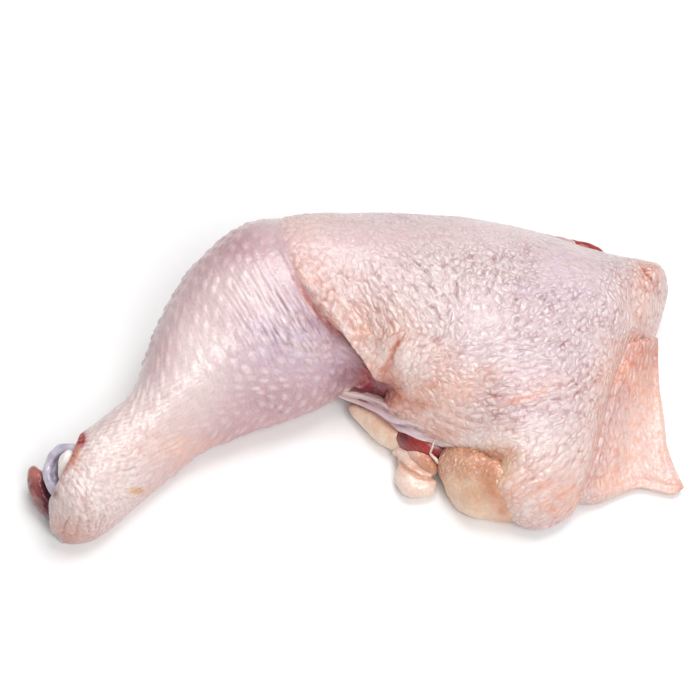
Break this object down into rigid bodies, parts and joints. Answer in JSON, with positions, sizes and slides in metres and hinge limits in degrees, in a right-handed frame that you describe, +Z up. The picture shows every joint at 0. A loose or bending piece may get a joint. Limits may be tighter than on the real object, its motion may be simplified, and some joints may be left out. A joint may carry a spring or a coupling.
{
  "type": "raw chicken leg",
  "caption": "Raw chicken leg with its skin on, drumstick and thigh in one piece, lying skin side up with loose skin, fat and gristle at its cut ends.",
  "frame": {"origin": "bottom centre of the whole leg, on the surface that it lies on", "axes": "+Z up, +X from the hock end to the hip end, +Y away from the side with the knee's hollow"},
  "size_m": [0.2133, 0.115, 0.0533],
  "materials": {
    "raw_skin": "moist, pebbled and finely wrinkled",
    "gristle": "smooth and wet",
    "sinew": "smooth and wet",
    "raw_meat": "fibrous and wet",
    "raw_fat": "waxy and lumpy"
  },
  "bodies": {
    "root": {"leg": "raw_skin", "hock_cartilage": "gristle", "hock_tendon": "sinew", "shank_muscle": "raw_meat", "thigh_muscle": "raw_meat", "back_muscle": "raw_meat", "fat_lobe": "raw_fat", "fat_scrap": "raw_fat", "fat_pad": "raw_fat"}
  },
  "joints": []
}
